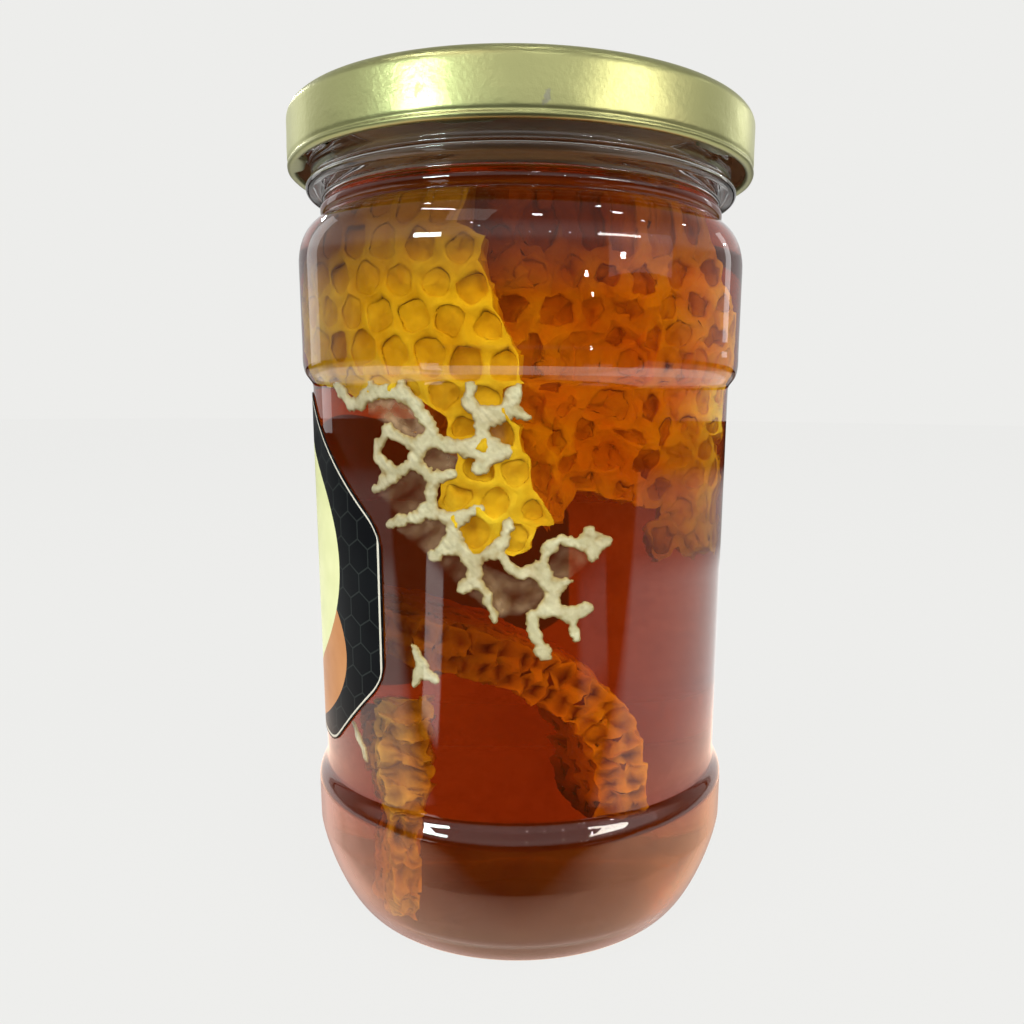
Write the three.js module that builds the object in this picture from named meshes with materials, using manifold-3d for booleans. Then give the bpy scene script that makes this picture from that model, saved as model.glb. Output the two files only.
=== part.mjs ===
// A shut glass jar of comb honey: a moulded jar, a gold twist-off lid, a plain wrap label,
// and pieces of comb standing in the jar. Millimetres, +Z up, origin under the middle of the base.
import * as THREE from 'three';
import { mergeGeometries, mergeVertices } from 'three/addons/utils/BufferGeometryUtils.js';
import Module from 'manifold-3d';

const wasm = await Module();
wasm.setup();

// Jar
const PANEL_RADIUS = 39.35;       // straight wall that carries the label
const SHOULDER_RADIUS = 41.0;     // bulge above the panel
const HEEL_RADIUS = 41.15;        // bulge below the panel
const WALL = 2.6;
const FOOT_RADIUS = 34.4;         // outer edge of the ring that the jar stands on
const HEEL_WIDEST = 16.7;
const HEEL_POWER = 1.5;           // the heel curve is this much slacker than an ellipse
const HEEL_TOP = 26.4;            // edge where the heel turns in to the panel
const PANEL_LOW = 34.5;
const PANEL_HIGH = 100.2;
const SHOULDER_LOW = 106.5;
const SHOULDER_TURN = 121.5;      // where the shoulder starts to round in
const NECK_RADIUS = 36.2;
const BEAD = { radius: 39.3, middle: 134.6, half: 1.05 };
const FINISH_RADIUS = 38.3;       // glass inside the lid
const RIM_TOP = 145.6;
const FLOOR = 4.4;
const AROUND = 42;                // facets round the jar and the lid

// Lid
const LID_RADIUS = 42.2;
const LID_TOP = 147.4;
const LID_UNDER = 145.9;          // underside of the panel, just over the rim
const SKIRT_INSIDE = 41.4;
const CURL = { radius: 41.5, middle: 137.9, thick: 0.7 };
const LUGS = 6;
const FIRST_LUG = 20;             // degrees
const LUG = { half: 5, low: 137.6, high: 138.5, thick: 1.6 };
const THREAD = { half: 12, low: 138.8, high: 140, climb: 1.0, drop: 0.4, thick: 2.2 };

// Label: arc lengths from its middle line, and heights
const LABEL = {
  turn: -110, halfWidth: 52.5, low: 35.3, high: 99.3, sideLow: 51, sideHigh: 77,
  flatLow: 35.5, flatHigh: 26.5, gap: 0.3, thick: 0.25,
};

// Comb
const PITCH = 6.3;                // across the flats of a cell
const CELL_WALL = 1.5;
const CELL_TAPER = 0.85;
const EDGE = 1.2;                 // the least from a cell's middle to a piece's edge
const BIT_THICK = 1.6;
const INNER = PANEL_RADIUS - WALL;
const WAX_FACE = INNER - 0.4;     // radius of wax that lies along the glass
const DEGREE = Math.PI / 180;

const glass = new THREE.MeshStandardMaterial({ color: 0xf2f4f0, roughness: 0.05, metalness: 0 });
glass.transparent = true;
glass.opacity = 0.3;
const gold = new THREE.MeshStandardMaterial({ color: 0xb9ac5e, roughness: 0.32, metalness: 0.9 });
const paper = new THREE.MeshStandardMaterial({ color: 0x1d2422, roughness: 0.35, metalness: 0 });
const yellowWax = new THREE.MeshStandardMaterial({ color: 0xd9a01c, roughness: 0.6, metalness: 0 });
const amberWax = new THREE.MeshStandardMaterial({ color: 0xc46d10, roughness: 0.6, metalness: 0 });
const paleWax = new THREE.MeshStandardMaterial({ color: 0xd8d8b4, roughness: 0.7, metalness: 0 });

const at = (r, z) => new THREE.Vector2(r, z);

// Points on an ellipse's arc, from and to in degrees, 0 pointing outwards and 90 up. A power above
// 1 draws the curve in between its ends.
function arc(middle, reach, from, to, steps, power = 1) {
  const bent = (share) => Math.sign(share) * Math.abs(share) ** power;
  return Array.from({ length: steps + 1 }, (_, i) => {
    const angle = (from + ((to - from) * i) / steps) * DEGREE;
    return at(middle[0] + reach[0] * bent(Math.cos(angle)), middle[1] + reach[1] * bent(Math.sin(angle)));
  });
}

// Straight lines through a few points, as a function.
function through(points) {
  return (x) => {
    const next = points.findIndex(([px]) => px >= x);
    if (next === 0) return points[0][1];
    if (next < 0) return points[points.length - 1][1];
    const [[x0, y0], [x1, y1]] = [points[next - 1], points[next]];
    return y0 + ((y1 - y0) * (x - x0)) / (x1 - x0);
  };
}

function lathe(profile) {
  const geometry = new THREE.LatheGeometry(profile, AROUND);
  geometry.rotateX(Math.PI / 2);
  return geometry;
}

// Moves every vertex to place(u, v, w), a right-handed change of coordinates.
function reshape(geometry, place) {
  const position = geometry.attributes.position;
  for (let i = 0; i < position.count; i++) {
    position.setXYZ(i, ...place(position.getX(i), position.getY(i), position.getZ(i)));
  }
  return geometry;
}

// Coordinates round the jar: u is an arc length from the front towards the right at that
// radius, v is the height and w reaches outwards. turn is in degrees.
function roundJar(radius, turn = 0) {
  return (u, v, w) => {
    const angle = turn * DEGREE + u / radius;
    return [(radius + w) * Math.sin(angle), -(radius + w) * Math.cos(angle), v];
  };
}

// A block that is split along u. Its two edges in v are functions of u.
function block({ from, to, steps, low, high, thick }) {
  const geometry = new THREE.BoxGeometry(1, 1, 1, steps, 1, 1);
  return reshape(geometry, (x, y, z) => {
    const u = from + (to - from) * (x + 0.5);
    return [u, y < 0 ? low(u) : high(u), thick * z];
  });
}

function toSolid(geometry) {
  const bare = geometry.clone();
  bare.deleteAttribute('normal');
  bare.deleteAttribute('uv');
  const merged = mergeVertices(bare, 1e-4);
  const corners = merged.index.array;
  const triVerts = [];
  for (let i = 0; i < corners.length; i += 3) {
    const [a, b, c] = corners.subarray(i, i + 3);
    if (a !== b && b !== c && c !== a) triVerts.push(a, b, c);
  }
  return new wasm.Manifold(new wasm.Mesh({
    numProp: 3,
    vertProperties: new Float32Array(merged.attributes.position.array),
    triVerts: new Uint32Array(triVerts),
  }));
}

function toGeometry(solid) {
  const { vertProperties, triVerts } = solid.getMesh();
  const geometry = new THREE.BufferGeometry();
  geometry.setAttribute('position', new THREE.BufferAttribute(vertProperties, 3));
  geometry.setIndex(new THREE.BufferAttribute(triVerts, 1));
  return geometry;
}

function fused(pieces) {
  return toGeometry(pieces.map(toSolid).reduce((all, piece) => all.add(piece)));
}

function named(name, geometry, material) {
  const mesh = new THREE.Mesh(geometry, material);
  mesh.name = name;
  return mesh;
}

function turns(count, first) {
  return Array.from({ length: count }, (_, i) => first + (360 / count) * i);
}

function jarOutside() {
  return [
    at(0, 2), at(20, 1.5), at(31, 0),
    ...arc([FOOT_RADIUS, HEEL_WIDEST], [HEEL_RADIUS - FOOT_RADIUS, HEEL_WIDEST], -90, 0, 6, HEEL_POWER),
    at(41.1, 25.2), at(40.7, HEEL_TOP), at(39.9, 27.4), at(39.5, 28.6), at(PANEL_RADIUS, 30.6),
    at(PANEL_RADIUS, PANEL_HIGH), at(39.5, 101), at(40.5, 102.3), at(41, 104.2),
    at(SHOULDER_RADIUS, SHOULDER_LOW),
    ...arc([SHOULDER_RADIUS - 5.35, SHOULDER_TURN], [5, 7.9], 0, 80, 5),
    at(36.3, 129.7), at(36.9, 130.4), at(36.9, 131.5), at(NECK_RADIUS, 132.2), at(NECK_RADIUS, 133.2),
    ...arc([BEAD.radius - 1.1, BEAD.middle], [1.1, BEAD.half], -90, 90, 3),
    at(FINISH_RADIUS, 136.2), at(FINISH_RADIUS, RIM_TOP - 1), at(37.4, RIM_TOP),
  ];
}

function jarInside() {
  const bore = NECK_RADIUS - WALL;
  return [
    at(35.6, RIM_TOP), at(34.7, RIM_TOP - 0.8), at(bore, 134), at(bore, 129.6),
    ...arc([bore - 0.4, 120], [5.15, 7.9], 78, 0, 4),
    at(SHOULDER_RADIUS - WALL, SHOULDER_LOW), at(37.8, 103.6), at(INNER + 0.2, 101.7),
    at(INNER, PANEL_HIGH), at(INNER, PANEL_LOW), at(37, 32), at(37.8, 27.5),
    at(HEEL_RADIUS - WALL, 24),
    ...arc([32.9, 19.5], [HEEL_RADIUS - WALL - 32.9, 19.5 - FLOOR + 0.5], 0, -90, 4),
    at(0, FLOOR + 0.6),
  ];
}

// A rib that a lug runs under: it drops along the finish as the lid is turned on.
function thread(turn) {
  const { half, low, high, climb, drop, thick } = THREAD;
  const slope = through([[-half, climb], [half, -drop]]);
  const rib = block({
    from: -half, to: half, steps: 2, low: (u) => low + slope(u), high: (u) => high + slope(u), thick,
  });
  return reshape(rib, roundJar(FINISH_RADIUS + 0.5, turn));
}

function jar() {
  const body = lathe([...jarOutside(), ...jarInside()]);
  return named('jar', fused([body, ...turns(LUGS, FIRST_LUG).map(thread)]), glass);
}

// A tab pressed inwards from the curl.
function lug(turn) {
  const { half, low, high, thick } = LUG;
  const tab = block({ from: -half, to: half, steps: 2, low: () => low, high: () => high, thick });
  return reshape(tab, roundJar(CURL.radius - 1.2, turn));
}

function lid() {
  const shell = lathe([
    at(0, LID_UNDER), at(40.5, LID_UNDER), at(SKIRT_INSIDE, LID_UNDER - 1.1), at(SKIRT_INSIDE, 138.6),
    ...arc([CURL.radius, CURL.middle], [CURL.thick, CURL.thick], 140, 400, 7),
    at(LID_RADIUS - 0.1, 138.6), at(LID_RADIUS, 139.3), at(LID_RADIUS - 0.1, LID_TOP - 2.2),
    ...arc([LID_RADIUS - 2.3, LID_TOP - 2.2], [2.2, 2.2], 20, 90, 4),
    at(37.6, LID_TOP), at(36.6, LID_TOP - 0.6), at(0, LID_TOP - 0.6),
  ]);
  return named('lid', fused([shell, ...turns(LUGS, FIRST_LUG).map(lug)]), gold);
}

function label() {
  const { halfWidth, flatLow, flatHigh, thick } = LABEL;
  const high = through([[-halfWidth, LABEL.sideHigh], [-flatHigh, LABEL.high], [flatHigh, LABEL.high],
    [halfWidth, LABEL.sideHigh]]);
  const low = through([[-halfWidth, LABEL.sideLow], [-flatLow, LABEL.low], [flatLow, LABEL.low],
    [halfWidth, LABEL.sideLow]]);
  const sheet = block({ from: -halfWidth, to: halfWidth, steps: 36, low, high, thick });
  return named('label', reshape(sheet, roundJar(PANEL_RADIUS + LABEL.gap + thick / 2, LABEL.turn)), paper);
}

// Hexagonal cutters over a block that reach depth down from its open face. The cells stand in
// staggered rows through a first cell, and the rows are turned by tilt degrees.
function cells({ from, to, low, high, thick, depth, first, tilt }) {
  const radius = (PITCH - CELL_WALL) / Math.sqrt(3);
  const row = (PITCH * Math.sqrt(3)) / 2;
  const spill = 0.5;
  const reach = 16;
  const cutters = [];
  for (let line = -reach; line <= reach; line++) {
    for (let column = -reach; column <= reach; column++) {
      const step = new THREE.Vector2(PITCH * (column + line / 2), row * line);
      const { x: u, y: v } = step.rotateAround(new THREE.Vector2(), tilt * DEGREE).add(at(...first));
      if (u < from + EDGE || u > to - EDGE || v < low(u) + EDGE || v > high(u) - EDGE) continue;
      const cutter = new THREE.CylinderGeometry(radius, radius * CELL_TAPER, depth + spill, 6);
      cutter.rotateX(Math.PI / 2).rotateZ(tilt * DEGREE);
      cutters.push(cutter.translate(u, v, thick / 2 + (spill - depth) / 2));
    }
  }
  return mergeGeometries(cutters);
}

// A piece of comb: a bent block with blind cells.
function comb(name, shape, place, material) {
  const [whole, cutters] = [block(shape), cells(shape)].map((flat) => toSolid(reshape(flat, place)));
  return named(name, toGeometry(whole.subtract(cutters)), material);
}

// The comb that leans against the glass on the upper left.
function combUpperLeft() {
  const shape = {
    from: -37, to: 14, steps: 14, thick: 7.8, depth: 6.2, first: [-13, 112.5], tilt: -6,
    low: through([[-37, 99], [-31, 97], [-25, 84], [-19, 78.5], [-9, 67.5], [-3, 62.5], [6, 58], [10, 60],
      [14, 70]]),
    high: through([[-37, 122], [-20, 126], [0.2, 126], [0.6, 101], [6.5, 94], [12.5, 81], [14, 78]]),
  };
  const round = roundJar(WAX_FACE);
  return comb('comb_upper_left', shape, (u, v, w) => round(u, v, w - shape.thick / 2), yellowWax);
}

// A flat place: its face looks towards turn, at a distance from the jar's axis.
function flat(distance, turn) {
  const [side, front] = [Math.cos(turn * DEGREE), Math.sin(turn * DEGREE)];
  return (u, v, w) => [u * side + (distance + w) * front, u * front - (distance + w) * side, v];
}

// The flat comb behind the glass on the upper right.
function combUpperRight() {
  const shape = {
    from: -9.2, to: 23.5, steps: 4, thick: 9, depth: 7, first: [2, 108], tilt: 4,
    low: through([[-9.2, 88], [0, 83], [8, 80], [13, 76], [19, 74], [23.5, 78]]),
    high: through([[-9.2, 127], [8, 127], [23.5, 120]]),
  };
  const [distance, turn] = [26, 25];
  return comb('comb_upper_right', shape, flat(distance - shape.thick / 2, turn), amberWax);
}

// Coordinates along an arch that runs almost level to the right, bends down and ends in a short leg.
// u is the length along its middle line, v runs from front to back and w up or outwards. Towards
// the back it rises and leans to the left.
const ARCH = new THREE.CatmullRomCurve3([
  [-21, 57.5], [-9.8, 56.3], [-2, 54.3], [4, 51.4], [10.8, 47], [15, 42], [16.8, 36], [17.5, 30], [17.7, 19],
].map(([x, z]) => new THREE.Vector3(x, 0, z)));
const ARCH_FRONT = -25;
const ARCH_RISE = 0.22;
const ARCH_LEAN = 0.5;

function alongArch(u, v, w) {
  const share = THREE.MathUtils.clamp(u / ARCH.getLength(), 0, 1);
  const [spot, way] = [ARCH.getPointAt(share), ARCH.getTangentAt(share)];
  const back = v - ARCH_FRONT;
  return [spot.x - way.z * w - ARCH_LEAN * back, v, spot.z + way.x * w + ARCH_RISE * back];
}

function combLower() {
  const shape = {
    from: 0, to: 60, steps: 12, thick: 8.2, depth: 7, first: [3, -24], tilt: 0,
    low: through([[0, -24], [10, -25], [20, -25.5], [60, -25.5]]),
    high: through([[0, -7], [18, -5.5], [44, -6.5], [60, -8]]),
  };
  return comb('comb_lower', shape, alongArch, amberWax);
}

// The comb that stands on edge on the lower left, its narrow side against the glass. u runs
// inwards from the glass and w to the right.
function combLowerLeft() {
  const shape = {
    from: 0, to: 19, steps: 4, thick: 9, depth: 7, first: [3, 14], tilt: 0,
    low: through([[0, 12], [3, 6.5], [19, 6.5]]),
    high: through([[0, 48], [5, 47], [9, 42.3], [19, 41]]),
  };
  const [middle, face, turn] = [-18, 27.6, 1 * DEGREE];
  const [side, front] = [Math.cos(turn), Math.sin(turn)];
  const place = (u, v, w) => [middle - u * front + w * side, u * side - face + w * front, v];
  return comb('comb_lower_left', shape, place, yellowWax);
}

// Scraps of wax stuck to the inside of the glass, made of short arms from point to point.
function arm([from, to], width) {
  const [a, b] = [from, to].map(([u, v]) => new THREE.Vector2(u, v));
  const length = a.distanceTo(b) + width;
  const bar = new THREE.BoxGeometry(length, width, BIT_THICK, 2, 1, 1);
  bar.rotateZ(b.clone().sub(a).angle());
  const middle = a.add(b).multiplyScalar(0.5);
  return bar.translate(middle.x, middle.y, 0);
}

function waxBit(name, arms, width) {
  const pieces = arms.map((ends) => reshape(arm(ends, width), roundJar(WAX_FACE - BIT_THICK / 2)));
  return named(name, fused(pieces), paleWax);
}

const object = new THREE.Group();
object.add(
  jar(), lid(), label(), combUpperLeft(), combUpperRight(), combLower(), combLowerLeft(),
  waxBit('wax_bit_1', [[-17.2, 57], [-17.4, 51], [-13.2, 52]].map((end) => [[-15.5, 54.2], end]), 1.9),
  waxBit('wax_bit_2', [[[-32.6, 40.2], [-29, 35.2]]], 1.8),
);

export default object;
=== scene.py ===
import math

import bpy
import numpy as np
from mathutils import Matrix


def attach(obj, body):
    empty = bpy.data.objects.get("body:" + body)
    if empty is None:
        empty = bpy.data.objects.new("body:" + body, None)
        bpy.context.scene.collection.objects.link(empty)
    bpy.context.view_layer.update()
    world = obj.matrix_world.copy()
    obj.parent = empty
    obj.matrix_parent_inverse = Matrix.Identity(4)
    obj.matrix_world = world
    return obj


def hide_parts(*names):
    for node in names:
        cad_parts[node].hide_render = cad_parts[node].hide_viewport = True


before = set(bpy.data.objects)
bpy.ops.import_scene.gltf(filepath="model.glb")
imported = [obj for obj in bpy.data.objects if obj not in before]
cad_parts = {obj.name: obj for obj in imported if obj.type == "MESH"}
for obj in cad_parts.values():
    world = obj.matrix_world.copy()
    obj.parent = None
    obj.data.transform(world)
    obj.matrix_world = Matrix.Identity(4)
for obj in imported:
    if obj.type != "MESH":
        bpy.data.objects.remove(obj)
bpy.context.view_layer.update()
print("frame loaded:", sorted(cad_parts))

mm = 0.001
degree = math.pi / 180
scene = bpy.context.scene


# points is (n, 3) in millimetres; faces is a list of index arrays with 3 or 4 columns
def meshPiece(name, points, faces, materials, slots=None):
    mesh = bpy.data.meshes.new(name)
    loops = np.concatenate([f.ravel() for f in faces]).astype(np.int32)
    sizes = np.concatenate([np.full(len(f), f.shape[1], np.int32) for f in faces])
    starts = np.concatenate([[0], np.cumsum(sizes)[:-1]]).astype(np.int32)
    mesh.vertices.add(len(points))
    mesh.vertices.foreach_set("co", (np.asarray(points, float) * mm).astype(np.float32).ravel())
    mesh.loops.add(len(loops))
    mesh.loops.foreach_set("vertex_index", loops)
    mesh.polygons.add(len(sizes))
    mesh.polygons.foreach_set("loop_start", starts)
    mesh.polygons.foreach_set("use_smooth", np.ones(len(sizes), bool))
    if slots is not None:
        mesh.polygons.foreach_set("material_index", slots.astype(np.int32))
    mesh.update(calc_edges=True)
    mesh.validate()
    for material in materials:
        mesh.materials.append(material)
    piece = bpy.data.objects.new(name, mesh)
    scene.collection.objects.link(piece)
    return piece


# quads of a grid whose point (i, j) has index i * columns + j
def gridFaces(rows, columns, closedColumns=False):
    lastColumn = columns if closedColumns else columns - 1
    a, b = np.meshgrid(np.arange(rows - 1), np.arange(lastColumn), indexing="ij")
    below, above, beside = a * columns, (a + 1) * columns, (b + 1) % columns
    return np.stack([below + b, below + beside, above + beside, above + b], -1).reshape(-1, 4)


# a value for every vertex, for the materials to read
def attribute(piece, name, values):
    layer = piece.data.attributes.new(name, "FLOAT", "POINT")
    layer.data.foreach_set("value", np.asarray(values, np.float32))


# points on an ellipse's arc, 0 degrees pointing outwards and 90 up; a power above 1 flattens it
def arc(middle, reach, start, end, steps, power=1.0):
    angle = np.linspace(start, end, steps + 1) * degree
    across = np.maximum(np.cos(angle), 0) ** power
    up = np.sign(np.sin(angle)) * np.abs(np.sin(angle)) ** power
    return np.stack([middle[0] + reach[0] * across, middle[1] + reach[1] * up], 1)


# each inner corner of a chain becomes a curve that starts and ends up to reach away from it:
# (1-t)^2 before + 2t(1-t) corner + t^2 after
def softened(chain, reach, steps=5):
    corner, before, after = chain[1:-1], chain[:-2], chain[2:]
    back, ahead = before - corner, after - corner
    backLong = np.linalg.norm(back, axis=1, keepdims=True)
    aheadLong = np.linalg.norm(ahead, axis=1, keepdims=True)
    start = corner + back / backLong * np.minimum(reach, 0.45 * backLong)
    end = corner + ahead / aheadLong * np.minimum(reach, 0.45 * aheadLong)
    t = np.linspace(0, 1, steps)[None, :, None]
    curve = (1 - t) ** 2 * start[:, None] + 2 * t * (1 - t) * corner[:, None] + t**2 * end[:, None]
    return np.concatenate([chain[:1], curve.reshape(-1, 2), chain[-1:]])


# extra points along the straight parts of a chain, none longer than step
def refined(chain, step):
    parts = [chain[:1]]
    for a, b in zip(chain[:-1], chain[1:]):
        count = max(1, int(math.ceil(np.linalg.norm(b - a) / step)))
        parts.append(a + (b - a) * (np.arange(1, count + 1) / count)[:, None])
    return np.concatenate(parts)


# a profile (radius, height) that starts and ends on the axis, carried round it: x = r sin(a),
# y = -r cos(a), z = h. slot gives a face's material by its row, radius and height; shape may change the
# radius by the angle and the height.
def turned(name, profile, around, materials, slot, shape=lambda angle, r, z: (r, z)):
    ring = profile[1:-1]
    angle = np.arange(around) / around * 2 * math.pi
    r, z = shape(angle[None, :], *(np.repeat(ring[:, k:k + 1], around, 1) for k in (0, 1)))
    points = np.stack([r * np.sin(angle), -r * np.cos(angle), z], -1).reshape(-1, 3)
    faces = [gridFaces(len(ring), around, closedColumns=True)]
    rows = [faces[0].min(1) // around]
    turn = np.arange(around)
    for row, tip, order in ((0, profile[0], -1), (len(ring) - 1, profile[-1], 1)):
        fan = [row * around + turn, row * around + (turn + 1) % around, np.full(around, len(points))]
        faces.append(np.stack(fan, 1)[:, ::order])
        rows.append(np.full(around, row))
        points = np.vstack([points, [0, 0, tip[1]]])
    row = np.concatenate(rows)
    return meshPiece(name, points, faces, materials, slot(row, *ring[row].T))


# a smooth wave of three numbers at every point: a sum of sines in random directions
def ripples(points, length, seed, count=14):
    pick = np.random.default_rng(seed)
    way = pick.normal(size=(count, 3))
    way /= np.linalg.norm(way, axis=1, keepdims=True)
    way *= 2 * math.pi / (length * pick.uniform(0.6, 1.6, (count, 1)))
    shift = pick.uniform(0, 2 * math.pi, (3, count))
    waves = points @ way.T
    return np.stack([np.sin(waves + s).sum(-1) for s in shift], -1) * math.sqrt(2 / count)


# signed distance of points to a closed outline, negative inside, and the nearest point on it
def toOutline(points, outline):
    start = np.asarray(outline, float)
    along = np.roll(start, -1, 0) - start
    away = points[:, None] - start
    t = np.clip((away * along).sum(-1) / (along**2).sum(-1), 0, 1)
    near = start + t[..., None] * along
    gap = np.linalg.norm(points[:, None] - near, axis=-1)
    end = start + along
    level = points[:, None, 1]
    crosses = ((start[:, 1] > level) != (end[:, 1] > level)) & (
        points[:, None, 0] < along[:, 0] * (level - start[:, 1]) / (along[:, 1] + 1e-9) + start[:, 0])
    row, best = np.arange(len(points)), gap.argmin(1)
    return np.where(crosses.sum(1) % 2 == 1, -1, 1) * gap[row, best], near[row, best]


# the node tree that the helpers below add to
def openTree(tree):
    global nodes, links
    nodes, links = tree.nodes, tree.links


def newMaterial(name):
    material = bpy.data.materials.new(name)
    material.use_nodes = True
    openTree(material.node_tree)
    nodes.clear()
    return material


def feed(socket, value):
    if isinstance(value, bpy.types.NodeSocket):
        links.new(value, socket)
    else:
        socket.default_value = (*value, 1) if socket.type == "RGBA" else value


# a new node: values or outputs for its first sockets in order, then sockets by name with _ for a space,
# and properties of its own by names that start with a small letter
def put(kind, *values, **named):
    node = nodes.new("ShaderNode" + kind)
    for key in [key for key in named if key[0].islower()]:
        setattr(node, key, named.pop(key))
    for socket, value in zip(node.inputs, values):
        feed(socket, value)
    for key, value in named.items():
        feed(node.inputs[key.replace("_", " ")], value)
    return node


def mathNode(operation, *values):
    return put("Math", *values, operation=operation).outputs[0]


def product(first, *others):
    for other in others:
        first = mathNode("MULTIPLY", first, other)
    return first


def ramp(value, start, end, low=0.0, high=1.0):
    return put("MapRange", value, start, end, low, high).outputs[0]


def mixColor(factor, first, second):
    node = put("Mix", factor, data_type="RGBA")
    feed(node.inputs[6], first)
    feed(node.inputs[7], second)
    return node.outputs[2]


def objectSpot():
    return put("TexCoord").outputs["Object"]


def separated(vector):
    return list(put("SeparateXYZ", vector).outputs)


def noise(vector, scale, detail, roughness=0.5):
    return put("TexNoise", Vector=vector, Scale=scale, Detail=detail, Roughness=roughness).outputs["Fac"]


def attributeNode(name):
    return put("Attribute", attribute_name=name).outputs["Fac"]


def mixShader(factor, first, second):
    return put("MixShader", factor, first.outputs[0], second.outputs[0])


def addShader(first, second):
    return put("AddShader", first.outputs[0], second.outputs[0])


def finishWith(surface):
    return put("OutputMaterial", surface.outputs[0])


# a node group that gives a fine mottle and a height for bumps, from object coordinates in metres
def grainGroup():
    group = bpy.data.node_groups.new("waxGrain", "ShaderNodeTree")
    for name, way in (("Coarse", "INPUT"), ("Fine", "INPUT"), ("Mottle", "OUTPUT"), ("Height", "OUTPUT")):
        group.interface.new_socket(name, in_out=way, socket_type="NodeSocketFloat")
    openTree(group)
    entry, leave = nodes.new("NodeGroupInput"), nodes.new("NodeGroupOutput")
    where = objectSpot()
    broad = noise(where, entry.outputs["Coarse"], 4.0, 0.6)
    close = noise(where, entry.outputs["Fine"], 3.0, 0.65)
    feed(leave.inputs["Mottle"], broad)
    feed(leave.inputs["Height"], mathNode("MULTIPLY_ADD", broad, 0.6, close))
    return group


waxGrain = grainGroup()


# clear material: it bends light for sight, and lets lamps straight through to what is inside. blur is the
# roughness, below 75 to 95 mm, for light that has already passed a wall; there light that meets the ledge
# from within goes straight on. color may be a function that adds nodes. Another such function may give the
# share and the tone of a matt layer, which is painted reflection and light on the glass. body holds what
# fills the inside, and its emission is a painted glow.
def clearMaterial(name, ior, color, through, headOn=(1, 1, 1), roughness=0.0, blur=None, paintedVeil=None,
                  body=None):
    material = newMaterial(name)
    path = put("LightPath").outputs
    straight = mathNode("MAXIMUM", path["Is Shadow Ray"], path["Is Diffuse Ray"])
    if blur:
        far = mathNode("SUBTRACT", 1.0, path["Is Camera Ray"])
        height = separated(objectSpot())[2]
        roughness = product(far, ramp(height, 0.075, 0.095, blur, 0.0))
        ledge = product(ramp(height, 0.020, 0.022), ramp(height, 0.031, 0.034, 1.0, 0.0))
        straight = mathNode("MAXIMUM", straight, product(ledge, far))
    color = color() if callable(color) else color
    glass = put("BsdfPrincipled", Base_Color=color, Roughness=roughness, IOR=ior, Transmission_Weight=1.0,
                Specular_Tint=headOn)
    mixed = mixShader(straight, glass, put("BsdfTransparent", Color=through))
    if paintedVeil:
        share, tone = paintedVeil()
        mixed = mixShader(share, mixed, put("BsdfDiffuse", Color=tone))
    out = finishWith(mixed)
    if body:
        volume = addShader(put("VolumeAbsorption", Color=body["absorb"], Density=body["density"]),
                           put("Emission", Color=body["hazeGlow"]))
        feed(out.inputs["Volume"], volume.outputs[0])
    return material


# wax: light and dark tones by the grain, two tones for the floors of cells with painted shade deepening
# into them, and a dark tone for marks of painted shadow and shade;
# partly lit through, and faintly glowing, a painted glow. It reads how deep in a cell a point lies, its
# cell's tint and its mark.
def waxMaterial(name, light, dark, deep, deepLight, shadeMark, through, glow, coarse, fine=900, bump=0.25):
    material = newMaterial(name)
    grain = put("Group", node_tree=waxGrain, Coarse=coarse, Fine=fine).outputs
    spread = ramp(grain["Mottle"], 0.35, 0.68)
    blend = mathNode("MULTIPLY_ADD", attributeNode("tint"), 0.7, product(spread, 0.45))
    tone = mixColor(attributeNode("pitShade"), mixColor(spread, dark, light), mixColor(blend, deep, deepLight))
    tone = mixColor(attributeNode("shadeMark"), tone, shadeMark)
    relief = put("Bump", Strength=bump, Distance=0.0006, Height=grain["Height"]).outputs[0]
    skin = put("BsdfPrincipled", Base_Color=tone, Roughness=0.45, Specular_IOR_Level=0.05,
               Emission_Color=tone, Emission_Strength=glow, Normal=relief)
    finishWith(mixShader(through, skin, put("BsdfTranslucent", Color=tone)))
    return material


# the jar: sizes in millimetres, with the finish's ribs of thread in lengths along the wall
jarSpec = dict(
    ior=1.52, color=(0.97, 0.985, 0.975), through=(0.93, 0.94, 0.93), around=224, blur=0.3,
    # the step's band: share and tone of a matt pink layer that is a painted reflection, and its heights
    bandReflection=(0.095, (1.0, 0.80, 0.70)), bandReflectionSpan=(101.4, 103.1), heelTop=24,
    finishRadius=38.3, finishLow=136.4, finishHigh=144.4, finishRows=33,
    ribTurn=110, ribSpacing=60, ribMiddle=139.4, ribDrop=0.045, ribWide=0.55, ribHalf=11, ribHigh=0.9)
honeyLevel = 133.0
bareGlass = jarSpec["ior"], jarSpec["color"], jarSpec["through"]


# painted light on the heel: a mottled matt layer stands in for reflections and light through the honey,
# amber in the middle, rosy at the sides, mauve low down, greyer at its rim
def heelPaintedSheen():
    where = objectSpot()
    x, _, z = separated(where)
    side = ramp(mathNode("ABSOLUTE", x), 0.010, 0.034)
    low = ramp(z, 0.003, 0.010, 1.0, 0.0)
    rimward = ramp(put("LayerWeight").outputs["Facing"], 0.58, 0.88, 0.0, 0.85)
    tone = mixColor(ramp(x, -0.02, 0.02), (1.0, 0.58, 0.50), (1.0, 0.48, 0.24))
    tone = mixColor(low, mixColor(side, (0.9, 0.25, 0.01), tone), (0.40, 0.22, 0.25))
    tone = mixColor(rimward, tone, (0.38, 0.28, 0.26))
    amount = mathNode("ADD", mathNode("ADD", product(side, 0.08), product(low, 0.01)), 0.015)
    amount = product(amount, ramp(noise(where, 38.0, 5.0, 0.62), 0.38, 0.62, 0.1, 1.7))
    return mathNode("MAXIMUM", amount, rimward), tone


clearGlass = clearMaterial("clearGlass", *bareGlass, blur=jarSpec["blur"])
wettedGlass = clearMaterial("wettedGlass", jarSpec["ior"], (1, 1, 1), (1, 1, 1), headOn=(0, 0, 0))
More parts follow.
